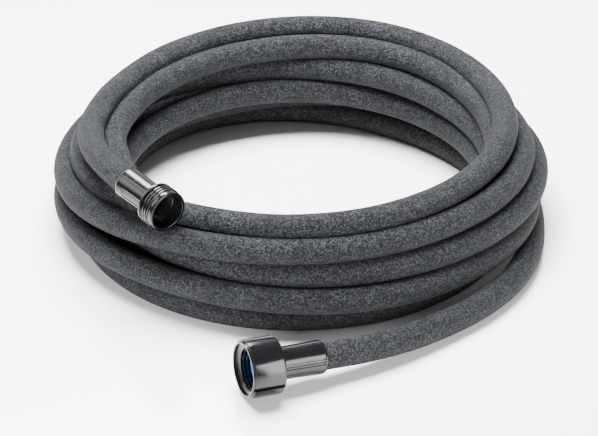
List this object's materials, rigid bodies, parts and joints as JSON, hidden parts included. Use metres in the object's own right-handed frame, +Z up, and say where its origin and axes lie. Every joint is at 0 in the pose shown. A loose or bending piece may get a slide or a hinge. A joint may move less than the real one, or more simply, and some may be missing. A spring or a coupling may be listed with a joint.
{
  "type": "soaker hose",
  "caption": "Coiled porous rubber soaker hose that weeps water along its length, with a swivel nut inlet and a threaded outlet for a further hose.",
  "frame": {"origin": "middle of the part's footprint, on the floor that the coil lies on", "axes": "+Z up out of the floor, along the coil's axis; -Y towards the inlet coupling, which lies in front of the coil"},
  "size_m": [0.321, 0.3895, 0.0845],
  "materials": {
    "hose_rubber": "matte, open-pored crumb rubber with fine speckle",
    "black_plastic": "moulded, glossy",
    "blue_plastic": "moulded, satin",
    "washer_rubber": "smooth soft rubber"
  },
  "bodies": {
    "hose": {"hose_coil": "hose_rubber", "hose_inlet_run": "hose_rubber", "hose_outlet_run": "hose_rubber", "hose_inlet_end": "hose_rubber", "hose_outlet_end": "hose_rubber", "inlet_stem": "black_plastic", "inlet_sleeve": "black_plastic", "outlet_fitting": "black_plastic", "outlet_sleeve": "black_plastic"},
    "nut": {"swivel_nut": "black_plastic", "flow_disc": "blue_plastic", "rubber_washer": "washer_rubber"}
  },
  "joints": [
    {"name": "nut_spin", "type": "hinge", "parent": "hose", "child": "nut", "pos_m": [-0.0345, -0.179, 0.0189], "axis": [0.9183, 0.3898, -0.0698], "continuous": true}
  ]
}
